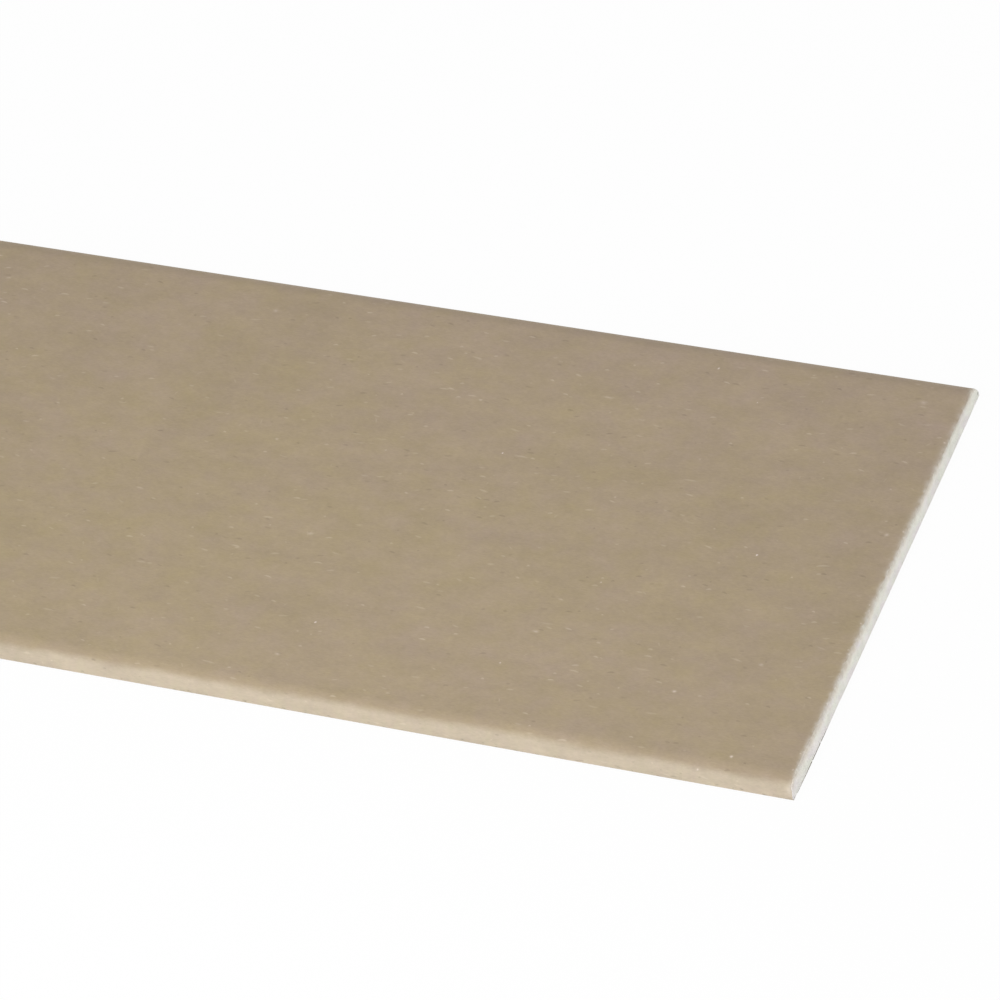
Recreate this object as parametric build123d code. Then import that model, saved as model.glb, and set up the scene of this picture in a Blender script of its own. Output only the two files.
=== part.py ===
from build123d import *
from math import atan2, degrees, sqrt
import os

# A sheet of thick solid drywall: a gypsum core between two paper liners, with half-round long edges.
# X runs along the sheet, Y across it, and Z up through its thickness.
# It lies on its back with the face up, and the origin is in the middle of its underside.

# The sheet as it is sold
sheet_length = 2000.0
sheet_width = 600.0
sheet_thickness = 25.0

# The paper liners
face_paper_thickness = 0.4
back_paper_thickness = 0.4

# The long edge rolls down from the face on a wide crown arc, and turns under on a tight nose arc
crown_radius = 24.0
nose_radius = 2.0

# The lap on the back, both measured from the outermost line of the long edge:
# how far in the folded flap of the face paper reaches, and where the back paper over it stops
flap_reach = 30.0
back_paper_setback = 12.0

# The flaps lie on top of the back paper, so the rolled edge stands clear of the floor by its thickness
flap_underside = back_paper_thickness

# The crown arc is tangent to the face, the nose arc to the flap and to the sheet's width,
# and they run into each other, so their centres lie apart by the difference of their radii
nose_centre_y = sheet_width / 2 - nose_radius
nose_centre_z = flap_underside + nose_radius
crown_centre_z = sheet_thickness - crown_radius
centre_rise = nose_centre_z - crown_centre_z
centre_run = sqrt((crown_radius - nose_radius) ** 2 - centre_rise**2)
crown_centre_y = nose_centre_y - centre_run
straight_down = -90
straight_up = 90
meeting_angle = degrees(atan2(centre_rise, centre_run))


def wrapped_section(depth):
    """The section of the sheet at a depth under its wrapped surface, from the face down to the flaps."""
    crown = crown_radius - depth
    nose = nose_radius - depth
    with BuildSketch(Plane.YZ) as section:
        with BuildLine():
            crown_arc = CenterArc(
                (crown_centre_y, crown_centre_z), crown, meeting_angle, straight_up - meeting_angle
            )
            nose_arc = CenterArc(
                (nose_centre_y, nose_centre_z), nose, straight_down, meeting_angle - straight_down
            )
            Line((0, (crown_arc @ 1).Y), crown_arc @ 1)
            Line((0, (nose_arc @ 0).Y), nose_arc @ 0)
            mirror(about=Plane.YZ)
        make_face()
    return section.sketch


def strip_section(width, underside, thickness):
    """The section of a flat strip in the middle of the sheet's width."""
    with BuildSketch(Plane.YZ) as section:
        with Locations((0, underside)):
            Rectangle(width, thickness, align=(Align.CENTER, Align.MIN))
    return section.sketch


def full_length(section):
    """A section drawn out to the sheet's length, half of it each way."""
    return extrude(section, amount=sheet_length / 2, both=True)


def gypsum_core():
    """The cast core fills the fold of the face paper and reaches down to the back paper between the flaps."""
    between_flaps = strip_section(sheet_width - 2 * flap_reach, flap_underside, face_paper_thickness)
    return full_length(wrapped_section(face_paper_thickness) + between_flaps)


def face_paper():
    """One web of paper covers the face, goes round both long edges and is folded in on the back."""
    between_flaps = strip_section(sheet_width - 2 * flap_reach, flap_underside, face_paper_thickness)
    return full_length(wrapped_section(0) - wrapped_section(face_paper_thickness) - between_flaps)


def back_paper():
    """The back paper is glued over the flaps and stops short of the rolled long edges."""
    return full_length(strip_section(sheet_width - 2 * back_paper_setback, 0, back_paper_thickness))


os.makedirs("parts", exist_ok=True)
pieces = {
    "gypsum_core": gypsum_core(),
    "face_paper": face_paper(),
    "back_paper": back_paper(),
}
for node, piece in pieces.items():
    export_step(piece, f"parts/{node}.step")
    size = piece.bounding_box().size
    print(f"{node}: {size.X:.1f} x {size.Y:.1f} x {size.Z:.2f} mm, {len(piece.faces())} faces")
print(f"The rolled edge is {nose_radius + centre_run:.2f} mm wide and its arcs meet at {meeting_angle:.1f} deg")
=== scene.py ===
# %% [markdown]
# # A sheet of solid drywall
#
# The real object is a slab of cast gypsum between two sheets of paper. The face paper is one
# web: it covers the face, rolls round both long edges and is folded in under the sheet. The back
# paper is glued over the two flaps. At the ends the slab is cut, so the white core shows there.
#
# The solid model gives the sizes and the place of each layer. This script dresses them: papers
# with a real thickness and a torn margin, a core with a crumbled arris, and fibrous finishes.

# %% Load the fixed frame
import bmesh
import bpy
from math import atan2, ceil, copysign, cos, pi, radians, sin, sqrt
from mathutils import Matrix, Vector, noise
from random import Random


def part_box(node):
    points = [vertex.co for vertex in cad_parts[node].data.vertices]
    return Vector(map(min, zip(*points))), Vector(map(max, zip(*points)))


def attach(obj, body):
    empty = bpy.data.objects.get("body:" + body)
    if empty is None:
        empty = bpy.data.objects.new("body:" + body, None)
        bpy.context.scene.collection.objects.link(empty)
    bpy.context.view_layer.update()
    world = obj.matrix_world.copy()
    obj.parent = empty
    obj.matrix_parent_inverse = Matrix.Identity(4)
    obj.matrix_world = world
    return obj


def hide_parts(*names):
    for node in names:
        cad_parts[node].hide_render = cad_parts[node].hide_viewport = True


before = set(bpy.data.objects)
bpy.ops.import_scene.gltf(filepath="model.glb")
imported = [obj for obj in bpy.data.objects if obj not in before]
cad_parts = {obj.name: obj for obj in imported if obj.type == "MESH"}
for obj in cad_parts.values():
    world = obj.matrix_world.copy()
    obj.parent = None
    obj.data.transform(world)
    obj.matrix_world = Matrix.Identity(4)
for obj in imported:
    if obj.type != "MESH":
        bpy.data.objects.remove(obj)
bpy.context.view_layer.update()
MM = 0.001
print("nodes:", sorted(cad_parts))

# %% [markdown]
# ## The sheet's measures
#
# Every size that a box can tell is read from the frame, so the looks follow the solids. A box
# can't tell the two radii of the rolled edge or the reach of the flaps, so these repeat the
# sizes of the real edge: a wide crown arc, nearly as large as the sheet is thick, comes down
# from the face, and a small nose arc turns it in under the sheet. The facets of the solid's
# round edge fall a little short of the real width, so the width is repeated too.

# %% Read the sizes from the frame
face_low, face_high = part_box("face_paper")
core_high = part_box("gypsum_core")[1]
back_low, back_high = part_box("back_paper")
LENGTH = face_high.x - face_low.x
THICKNESS = face_high.z
FACE_PAPER = face_high.z - core_high.z
BACK_PAPER = back_high.z - back_low.z
BACK_HALF = back_high.y
CROWN_RADIUS = 24 * MM
NOSE_RADIUS = 2 * MM
FLAP_REACH = 30 * MM
HALF_WIDTH = 300 * MM
END = LENGTH / 2

nose_y = HALF_WIDTH - NOSE_RADIUS
nose_z = BACK_PAPER + NOSE_RADIUS
crown_z = THICKNESS - CROWN_RADIUS
rise = nose_z - crown_z
run = sqrt((CROWN_RADIUS - NOSE_RADIUS) ** 2 - rise**2)
crown_y = nose_y - run
# Where the two arcs meet, as an angle from straight up
MEETING = pi / 2 - atan2(rise, run)
print(f"sheet {LENGTH:.3f} x {2 * HALF_WIDTH:.3f} x {THICKNESS:.4f} m")
print(f"papers {FACE_PAPER:.5f} and {BACK_PAPER:.5f} m thick")

# %% [markdown]
# ## The camera comes first
#
# It stands where the photograph was taken from: well above the sheet, to the right of its near
# edge, with a long lens, and turned by almost 25 degrees about its own line of sight. These
# values come from lining up the sheet's outline, so everything made after this can be compared
# with the photograph.

# %% A helper that stands something at a distance and lets it look at the sheet
def facing(target, azimuth, elevation, distance):
    """The matrix of a camera or lamp that looks at a target, from an azimuth and elevation in degrees."""
    turn = radians(azimuth)
    lift = radians(elevation)
    away = Vector((sin(turn) * cos(lift), -cos(turn) * cos(lift), sin(lift)))
    aim = away.to_track_quat("Z", "Y").to_matrix().to_4x4()
    return Matrix.Translation(target + away * distance) @ aim


# %% Set the camera
TARGET_BEFORE_CUT = 0.5294
TARGET_ACROSS = 0.0425
CAMERA_ROLL = radians(-24.66)
CAMERA_REACH = 100
FOCAL_LENGTH_PX = 8305.2
PICTURE_PX = 1000
SENSOR_MM = 36

target = Vector((END - TARGET_BEFORE_CUT, TARGET_ACROSS, 0))
stand = facing(target, azimuth=42.25, elevation=47.81, distance=9.859)
camera_data = bpy.data.cameras.new("camera")
camera_data.sensor_width = SENSOR_MM
camera_data.lens = FOCAL_LENGTH_PX / PICTURE_PX * SENSOR_MM
camera_data.clip_end = CAMERA_REACH
camera = bpy.data.objects.new("camera", camera_data)
bpy.context.collection.objects.link(camera)
camera.matrix_world = stand @ Matrix.Rotation(CAMERA_ROLL, 4, "Z")
bpy.context.scene.camera = camera
print("camera at", [round(value, 3) for value in stand.translation], "lens", round(camera_data.lens), "mm")

# %% [markdown]
# ## A white studio
#
# An even sky gives most of the light, and four broad lamps shape it. One high in front lets the
# face fade a little from its near edge to its far one. One low in front lights the near rolled
# edge, one low on the right lights the cut end, and one behind keeps the far edge from going
# dark. The floor is white paper. To the camera, and in reflections, it is nearly a plain white,
# so the background stays white while the floor keeps a soft shadow.

# %% Helpers that add nodes to a node tree
def place(tree, kind, *feeds, **settings):
    """A new node. Each feed is an input's name or number, and the value or the output it takes."""
    new = tree.nodes.new("ShaderNode" + kind)
    for name, value in settings.items():
        setattr(new, name, value)
    for socket, value in feeds:
        if isinstance(value, bpy.types.NodeSocket):
            tree.links.new(value, new.inputs[socket])
        else:
            new.inputs[socket].default_value = value
    return new


def math(tree, operation, first, second=0.0, third=0.0):
    """The result of a math node."""
    return place(tree, "Math", (0, first), (1, second), (2, third), operation=operation).outputs[0]


def seen_directly(tree):
    """1 for what the camera sees, also in a mirror or through glass, and 0 for light on its way."""
    rays = place(tree, "LightPath").outputs
    direct = math(tree, "MAXIMUM", rays["Is Camera Ray"], rays["Is Glossy Ray"])
    return math(tree, "MAXIMUM", direct, rays["Is Transmission Ray"])


# %% Light the scene
WHITE = (1, 1, 1, 1)
SKY_STRENGTH = 0.61
scene = bpy.context.scene
scene.view_settings.view_transform = "Standard"
world = bpy.data.worlds.new("white studio")
scene.world = world
world.use_nodes = True
sky = world.node_tree
sky.nodes.clear()
sky_power = place(sky, "MapRange", ("Value", seen_directly(sky)), ("To Min", SKY_STRENGTH), ("To Max", 1.0))
sky_light = place(sky, "Background", ("Color", WHITE), ("Strength", sky_power.outputs[0]))
place(sky, "OutputWorld", ("Surface", sky_light.outputs[0]))
SHEET_MIDDLE = Vector((0, 0, 0))


def add_lamp(name, size, power, **stand):
    """A square lamp that looks at the middle of the sheet."""
    data = bpy.data.lights.new(name, "AREA")
    data.size = size
    data.energy = power
    lamp = bpy.data.objects.new(name, data)
    bpy.context.collection.objects.link(lamp)
    lamp.matrix_world = facing(SHEET_MIDDLE, **stand)
    return lamp


lamps = [
    add_lamp("high front lamp", azimuth=10, elevation=55, distance=2.2, size=1.2, power=15.5),
    add_lamp("low front lamp", azimuth=16, elevation=12, distance=4.5, size=1.5, power=57.5),
    add_lamp("right lamp", azimuth=88, elevation=7, distance=6.0, size=2.0, power=40),
    add_lamp("back lamp", azimuth=185, elevation=25, distance=4.0, size=1.8, power=8),
]
print("lamps:", [lamp.name for lamp in lamps])

# %% Lay the floor
FLOOR_SIZE = 60
FLOOR_COLOUR = (0.88, 0.88, 0.88, 1)
FLOOR_WHITE_SHARE = 0.96
# The floor lies lower by so little that no gap shows, and never in one plane with the back
FLOOR_PLAY = 0.2 * MM
floor_mesh = bmesh.new()
bmesh.ops.create_grid(floor_mesh, x_segments=1, y_segments=1, size=FLOOR_SIZE / 2)
bmesh.ops.translate(floor_mesh, verts=floor_mesh.verts, vec=(0, 0, -FLOOR_PLAY))
floor_data = bpy.data.meshes.new("studio floor")
floor_mesh.to_mesh(floor_data)
floor_mesh.free()
floor = bpy.data.objects.new("studio floor", floor_data)
bpy.context.collection.objects.link(floor)
floor_paint = bpy.data.materials.new("white studio paper")
floor_paint.use_nodes = True
tree = floor_paint.node_tree
tree.nodes.clear()
white_part = math(tree, "MULTIPLY", seen_directly(tree), FLOOR_WHITE_SHARE)
matt = place(tree, "BsdfDiffuse", ("Color", FLOOR_COLOUR)).outputs[0]
plain_white = place(tree, "Emission", ("Color", WHITE), ("Strength", 1.0)).outputs[0]
floor_mix = place(tree, "MixShader", (0, white_part), (1, matt), (2, plain_white)).outputs[0]
place(tree, "OutputMaterial", ("Surface", floor_mix))
floor_data.materials.append(floor_paint)
print("floor", FLOOR_SIZE, "m wide")

# %% [markdown]
# ## The section of the rolled edge
#
# On the machine the face paper is folded round the wet plaster, so its section is a chain of a
# flat, two arcs and a short flap. A chain like that is one vertex spun round two centres. It is
# made for one half of the sheet and mirrored for the other.

# %% Helpers that draw a chain
def spin_vertex(bm, vertex, centre_y, centre_z, angle, step):
    """Spins a vertex about an axis along the sheet, and returns the last one."""
    spun = bmesh.ops.spin(
        bm,
        geom=[vertex],
        cent=(0, centre_y, centre_z),
        axis=(1, 0, 0),
        angle=angle,
        steps=ceil(abs(angle) / step),
        use_merge=False,
        use_duplicate=False,
    )
    return [part for part in spun["geom_last"] if isinstance(part, bmesh.types.BMVert)][0]


def extrude_vertex(bm, vertex, across, up):
    """Draws an edge from a vertex to a place in the section, and returns the new vertex."""
    drawn = bmesh.ops.extrude_vert_indiv(bm, verts=[vertex])
    end = drawn["verts"][0]
    end.co = (vertex.co.x, across, up)
    return end


MERGE_REACH = 0.01 * MM


def mirror_chain(bm):
    """Mirrors everything drawn so far across the sheet's middle."""
    bmesh.ops.mirror(
        bm,
        geom=bm.verts[:] + bm.edges[:],
        merge_dist=MERGE_REACH,
        axis="Y",
    )


# %% Spin the chain of the face paper
CROWN_STEP = radians(2)
NOSE_STEP = radians(9)
COLUMN = 0.75 * MM
# Longer edges than this are flats, which are still to be cut into columns
LONGEST_ARC_EDGE = 4 * COLUMN


def face_paper_chain(bm):
    """The outer line of the face paper's section, from one flap over the face to the other."""
    start = bm.verts.new((-END, HALF_WIDTH - FLAP_REACH, BACK_PAPER))
    tangent = extrude_vertex(bm, start, nose_y, BACK_PAPER)
    meeting = spin_vertex(bm, tangent, nose_y, nose_z, pi - MEETING, NOSE_STEP)
    shoulder = spin_vertex(bm, meeting, crown_y, crown_z, MEETING, CROWN_STEP)
    extrude_vertex(bm, shoulder, 0, THICKNESS)
    bm.edges.ensure_lookup_table()
    flats = [edge for edge in bm.edges if edge.calc_length() > LONGEST_ARC_EDGE]
    for edge in flats:
        cuts = ceil(edge.calc_length() / COLUMN) - 1
        bmesh.ops.subdivide_edges(bm, edges=[edge], cuts=cuts)
    mirror_chain(bm)


trial = bmesh.new()
face_paper_chain(trial)
print("chain of", len(trial.verts), "vertices, reaching", round(max(v.co.y for v in trial.verts), 5), "m")
trial.free()

# %% [markdown]
# ## Paper has its own flat map
#
# Fibres follow the paper, also round the rolled edge. So each paper gets a UV map in metres: U
# runs along the sheet and V is the width of the paper laid out flat, counted from its middle.

# %% Lay the paper out flat
CROWN_END = crown_y + CROWN_RADIUS * MEETING


def laid_out(across, up):
    """The distance over the paper from the middle of the face to a place on its section."""
    y = abs(across)
    if up > nose_z and y <= crown_y:
        width = y
    elif up < nose_z and y <= nose_y:
        width = CROWN_END + NOSE_RADIUS * (pi - MEETING) + nose_y - y
    else:
        on_crown = atan2(y - crown_y, up - crown_z)
        on_nose = atan2(y - nose_y, up - nose_z)
        if on_crown <= MEETING:
            width = crown_y + CROWN_RADIUS * on_crown
        else:
            width = CROWN_END + NOSE_RADIUS * (on_nose - MEETING)
    return copysign(width, across)


half_flat = laid_out(HALF_WIDTH - FLAP_REACH, BACK_PAPER)
print("half the face paper is", round(half_flat, 4), "m wide laid out flat")

# %% [markdown]
# ## The worn arris and the torn margin
#
# At a cut the arris of the soft core is worn round, and the end of the face paper is dragged
# down over it. The paper also tears a little back from the cut, with small nicks where fibres
# were pulled out. Both the wear and the tear are sums of slow and fine waves along the cut, so
# a column of the mesh only has to be moved by them.

# %% A ramp and a wave
def ramp(value, start, reach):
    """0 up to a start, 1 from a reach beyond it, and rising evenly between."""
    return min(1, max(0, (value - start) / reach))


def wave(across, per_metre, row, track):
    """Smooth noise from -1 to 1 along a cut. Each row and track of it holds another wave."""
    return noise.noise(Vector((across * per_metre, row, track)))


print("a ramp at five places:", [ramp(place_across, 1, 2) for place_across in range(5)])

# %% How far the arris is worn
ARRIS_RADIUS = 2.8 * MM
ARRIS_SLOW_SHARE = 0.35
ARRIS_FINE_SHARE = 0.2
# How much larger the radius is at the far edge, and how much smaller where the paper is rolled
ARRIS_LEAN_SHARE = 0.25
ARRIS_ROLL_SHARE = 0.6
ARRIS_ROLL_START = crown_y - 8 * MM
ARRIS_ROLL_REACH = 20 * MM


def arris_radius(place_across, side):
    """The radius that the face arris of a cut is worn to, at a place across the paper laid flat."""
    slow = wave(place_across, per_metre=18, row=side * 3, track=1.1)
    fine = wave(place_across, per_metre=90, row=side * 3, track=4.2)
    lean = ARRIS_LEAN_SHARE * place_across / HALF_WIDTH
    in_roll = ramp(abs(place_across), ARRIS_ROLL_START, ARRIS_ROLL_REACH)
    uneven = 1 + ARRIS_SLOW_SHARE * slow + ARRIS_FINE_SHARE * fine + lean
    return ARRIS_RADIUS * uneven * (1 - ARRIS_ROLL_SHARE * in_roll)


def arris_drop(depth, radius):
    """How far a round arris has fallen away at a depth, from the cut or from the face."""
    left = max(0, radius - depth)
    return radius - sqrt(max(0, radius**2 - left**2))


def wrap_arris(past, radius):
    """Where paper ends up that reaches past the start of the arris: its way forward and its drop."""
    angle = min(pi / 2, past / radius)
    below = max(0, past - radius * pi / 2)
    return radius * sin(angle), radius * (1 - cos(angle)) + below


print("the arris falls away by", [round(arris_drop(d * MM, ARRIS_RADIUS) / MM, 2) for d in (0, 1, 2)], "mm")

# %% Nicks, and the one knock that shows
NICK_SPAN = 1.2 * HALF_WIDTH
NICK_SPACING_SHARES = (0.3, 1.7)
NICK_HALF_WIDTHS_MM = (0.8, 2.4)
NICK_DEPTH_SHARES = (0.3, 1.0)
# A power above 1 makes deep nicks rare
NICK_DEPTH_POWER = 1.5
# The knock lies on the near rolled edge of the cut end on the right. It is a wide nick in the
# flat paper, and the spot on the solid that it lays bare is worked out from that.
KNOCK_SIDE = 1
KNOCK_ACROSS = -294 * MM
KNOCK_HALF_WIDTH = 6 * MM
KNOCK_DEPTH = 2.6 * MM
KNOCK_BEFORE_CUT = 2 * MM
KNOCK_TURN = (-KNOCK_ACROSS - crown_y) / CROWN_RADIUS
KNOCK_SPOT = (
    END - KNOCK_BEFORE_CUT,
    -crown_y - CROWN_RADIUS * sin(KNOCK_TURN),
    crown_z + CROWN_RADIUS * cos(KNOCK_TURN),
)


def make_nicks(seed, spacing, depth):
    """Places, half widths and depths of the narrow nicks along a margin."""
    draw = Random(seed)
    nicks = []
    place_across = -NICK_SPAN
    while place_across < NICK_SPAN:
        place_across += spacing * draw.uniform(*NICK_SPACING_SHARES)
        half = draw.uniform(*NICK_HALF_WIDTHS_MM) * MM
        nicks.append((place_across, half, depth * draw.uniform(*NICK_DEPTH_SHARES) ** NICK_DEPTH_POWER))
    return nicks


print("the knock's spot in mm:", [round(value / MM, 1) for value in KNOCK_SPOT])

# %% How far the paper is torn back
TEAR_ZONE = 8 * MM
TEAR_FINE_SHARE = 0.06
TEAR_FRAY = 0.08 * MM
FRAY_LIFT = 0.2


def tear_depth(place_across, nicks, row, height, least):
    """How far back from the cut the paper ends. Below zero it reaches past the cut."""
    slow = wave(place_across, per_metre=22, row=row, track=0.3)
    fine = wave(place_across, per_metre=140, row=row, track=3.7)
    fray = wave(place_across, per_metre=600, row=row, track=8.1)
    depth = least + height * (slow + TEAR_FINE_SHARE * fine) + TEAR_FRAY * max(0, fray + FRAY_LIFT)
    for middle, half, deep in nicks:
        if abs(place_across - middle) < half:
            depth += deep * (1 - abs(place_across - middle) / half)
    return depth


print("example tears in mm:", [round(tear_depth(y * 50 * MM, [], 1, MM, 0) / MM, 2) for y in range(5)])

# %% [markdown]
# ## The face paper
#
# The chain is extruded along the sheet in a few steps: close together near the ends, where the
# paper is torn and bent, and one long step between. Solidify then gives it the paper's
# thickness, and what it adds at the margin is the torn edge itself.

# %% Draw a paper out along the sheet
# How far the stations lie from the cut: close together where the paper bends over the arris
STATIONS_MM = (0, 0.5, 1, 1.5, 2.1, 2.8, 3.8, 5.5)
END_STATIONS = [station * MM for station in STATIONS_MM] + [TEAR_ZONE]


def extrude_along(bm):
    """Extrudes the chain from one end of the sheet to the other, through the stations."""
    stations = [-END + step for step in END_STATIONS] + [END - step for step in reversed(END_STATIONS)]
    chain = bm.edges[:]
    for before, after in zip(stations, stations[1:]):
        drawn = bmesh.ops.extrude_edge_only(bm, edges=chain)["geom"]
        moved = [part for part in drawn if isinstance(part, bmesh.types.BMVert)]
        bmesh.ops.translate(bm, verts=moved, vec=(after - before, 0, 0))
        chain = [part for part in drawn if isinstance(part, bmesh.types.BMEdge)]


def paper_surface(chain, measure, face_up, smooth):
    """The outer surface of a paper, with its faces outwards and its flat map."""
    bm = bmesh.new()
    chain(bm)
    extrude_along(bm)
    bmesh.ops.recalc_face_normals(bm, faces=bm.faces)
    largest = max(bm.faces, key=lambda face: face.calc_area())
    if (largest.normal.z > 0) != face_up:
        bmesh.ops.reverse_faces(bm, faces=bm.faces)
    bm.normal_update()
    flat_map = bm.loops.layers.uv.new("laid out flat")
    for face in bm.faces:
        face.smooth = smooth
        for loop in face.loops:
            loop[flat_map].uv = (loop.vert.co.x, measure(loop.vert.co.y, loop.vert.co.z))
    return bm


# %% Tear the ends of a paper
MARGIN_PLAY = 0.02 * MM
CUT_BOW = 0.66 * MM


def cut_place(across, side):
    """Where a cut lies along the sheet. No cut by hand is quite straight, so it bows a little."""
    return side * (END - CUT_BOW * (across / HALF_WIDTH) ** 2)


def tear_ends(bm, measure, seed, spacing, depth, height, least, bent):
    """Moves the margins to a torn line, and bends what reaches past the start of the arris over it."""
    for side in (-1, 1):
        nicks = make_nicks(seed + side, spacing, depth)
        if bent and side == KNOCK_SIDE:
            nicks.append((KNOCK_ACROSS, KNOCK_HALF_WIDTH, KNOCK_DEPTH))
        row = seed + side / 2
        for vertex in bm.verts:
            from_cut = END - side * vertex.co.x
            if from_cut < TEAR_ZONE:
                margin = cut_place(vertex.co.y, side)
                place_across = measure(vertex.co.y, vertex.co.z)
                torn = tear_depth(place_across, nicks, row, height, least(place_across))
                from_cut += torn * (1 - from_cut / TEAR_ZONE)
                radius = arris_radius(place_across, side)
                if bent and from_cut < radius:
                    forward, drop = wrap_arris(radius - from_cut, radius)
                    vertex.co -= vertex.normal * drop
                    from_cut = radius - forward
                vertex.co.x = margin - side * max(from_cut, MARGIN_PLAY)


# %% Finish a mesh
SHARP_FROM = radians(35)


def finish_mesh(bm, name, thickness=0):
    """Makes an object of a bmesh, gives a sheet its thickness, and marks its sharp edges."""
    mesh = bpy.data.meshes.new(name)
    bm.to_mesh(mesh)
    bm.free()
    piece = bpy.data.objects.new(name, mesh)
    bpy.context.collection.objects.link(piece)
    if thickness:
        wall = piece.modifiers.new("paper thickness", "SOLIDIFY")
        wall.thickness = thickness
        wall.offset = -1
        wall.use_rim = True
        wall.material_offset_rim = 1
        graph = bpy.context.evaluated_depsgraph_get()
        solid = bpy.data.meshes.new_from_object(piece.evaluated_get(graph))
        piece.modifiers.clear()
        piece.data = solid
        solid.name = name
    piece.data.set_sharp_from_angle(angle=SHARP_FROM)
    print(name, "has", len(piece.data.polygons), "faces")
    return piece


# %% Make the face paper
FACE_MARGIN = 0.8 * MM
# Towards the far side the paper hangs over the arris, and towards the near side it is torn back
FAR_OVERHANG = 2.8 * MM
NEAR_TEAR = 1.2 * MM
# Round the rolled edges it is the other way
FAR_ROLL_TEAR = 4.8 * MM
NEAR_ROLL_OVERHANG = 1.5 * MM
ROLL_REACH = 10 * MM


def face_margin(place_across):
    """How far the face paper ends behind the cut. Below zero it hangs over the arris."""
    share = place_across / HALF_WIDTH
    in_roll = ramp(abs(place_across), crown_y, ROLL_REACH)
    torn = FACE_MARGIN - FAR_OVERHANG * max(0, share) + NEAR_TEAR * max(0, -share)
    if share < 0:
        return torn - NEAR_ROLL_OVERHANG * in_roll
    return torn + FAR_ROLL_TEAR * in_roll


bm = paper_surface(face_paper_chain, laid_out, face_up=True, smooth=True)
tear_ends(
    bm,
    laid_out,
    seed=11,
    spacing=34 * MM,
    depth=2.0 * MM,
    height=1.2 * MM,
    least=face_margin,
    bent=True,
)
face_paper = finish_mesh(bm, "face_paper_web", thickness=FACE_PAPER)

# %% [markdown]
# ## The back paper
#
# It is a plain flat strip, a little narrower than the sheet, and glued over the flaps. At a cut
# it ends a little behind the core, more so on the far side. It is seen only from below, and as
# a thin grey line where the foot of the core is broken away above it.

# %% Where the near part of the cut ends
NEAR_PART_END = -240 * MM
NEAR_PART_FADE = 100 * MM
NEAR_CORNER_START = 262 * MM
NEAR_CORNER_REACH = 16 * MM


def past_near_part(across):
    """0 in the near part of the cut, where its foot is broken most, and 1 in the rest."""
    return ramp(across, NEAR_PART_END, NEAR_PART_FADE)


def at_near_corner(across):
    """1 at the near corner of the cut, and 0 away from it."""
    return ramp(-across, NEAR_CORNER_START, NEAR_CORNER_REACH)


print("the near part is left by", [round(past_near_part(y * 60 * MM), 2) for y in (-5, -4, -3, -2)])

# %% Make the back paper
BACK_MARGIN = 0.15 * MM
BACK_FAR_MARGIN = 0.9 * MM
BACK_CORNER_MARGIN = 0.3 * MM


def back_margin(across):
    """How far the back paper ends behind the cut: hardly in the near part, and more in the rest."""
    behind = BACK_MARGIN + BACK_FAR_MARGIN * past_near_part(across)
    return behind + BACK_CORNER_MARGIN * at_near_corner(across)


def back_chain(bm):
    """The outer line of the back paper's section, on the floor."""
    start = bm.verts.new((-END, BACK_HALF, 0))
    extrude_vertex(bm, start, 0, 0)
    cuts = ceil(BACK_HALF / COLUMN) - 1
    bmesh.ops.subdivide_edges(bm, edges=bm.edges[:], cuts=cuts)
    mirror_chain(bm)


def straight_across(across, up):
    """The back paper lies flat, so its map counts straight across the sheet."""
    return across


bm = paper_surface(back_chain, straight_across, face_up=False, smooth=False)
tear_ends(
    bm,
    straight_across,
    seed=31,
    spacing=60 * MM,
    depth=1.2 * MM,
    height=0.15 * MM,
    least=back_margin,
    bent=False,
)
back_paper = finish_mesh(bm, "back_paper_sheet", thickness=BACK_PAPER)

# %% [markdown]
# ## The gypsum core
#
# Only its two cut ends show. Each is a grid laid into the section: columns across the sheet,
# closer together where the edge is round, and rows from the bottom to the top, closer together
# at the arrises. The grid is pressed in a little by waves, pores and a crumbled arris, and the
# two ends are joined by a bridge.

# %% The core's section
def core_top(across):
    """The height of the core's upper line at a place across the sheet."""
    y = abs(across)
    if y <= crown_y:
        return THICKNESS - FACE_PAPER
    crown = CROWN_RADIUS - FACE_PAPER
    nose = NOSE_RADIUS - FACE_PAPER
    if y <= crown_y + crown * sin(MEETING):
        return crown_z + sqrt(max(0, crown**2 - (y - crown_y) ** 2))
    return nose_z + sqrt(max(0, nose**2 - (y - nose_y) ** 2))


def core_bottom(across):
    """The height of the core's lower line: on the back paper, or on a flap of the face paper."""
    y = abs(across)
    if y <= HALF_WIDTH - FLAP_REACH:
        return BACK_PAPER
    if y <= nose_y:
        return BACK_PAPER + FACE_PAPER
    nose = NOSE_RADIUS - FACE_PAPER
    return nose_z - sqrt(max(0, nose**2 - (y - nose_y) ** 2))


print("the core is", round((core_top(0) - core_bottom(0)) / MM, 2), "mm thick at its middle")

# %% Columns and rows of the cut face
CORE_HALF = HALF_WIDTH - FACE_PAPER
# The part of the columns that stands under the flat of the face
FLAT_SHARE = 0.9


def column_place(share):
    """A column's place across the sheet, for a share from -1 to 1: even, and crowded round the edges."""
    size = abs(share)
    if size <= FLAT_SHARE:
        place_across = crown_y * size / FLAT_SHARE
    else:
        place_across = crown_y + (CORE_HALF - crown_y) * sin(pi / 2 * (size - FLAT_SHARE) / (1 - FLAT_SHARE))
    return copysign(place_across, share)


def row_place(share):
    """A row's place between bottom and top, for a share from 0 to 1: crowded at both arrises."""
    return 0.5 - 0.5 * cos(pi * share)


print("core half width", round(CORE_HALF, 4), "top at the middle", round(core_top(0), 4))

# %% How the cut face is pressed in
# Each roughness has a depth, and how often it comes per metre across and up
SWELL = 0.16 * MM
SWELL_PER_METRE = (14, 30)
GRAIN = 0.18 * MM
GRAIN_PER_METRE = (320, 320)
PORE = 0.5 * MM
PORES_PER_METRE = (190, 190)
PORE_START = 0.42
FOOT_BREAK = 1.5 * MM
FOOT_REACH = 2.2 * MM
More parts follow.
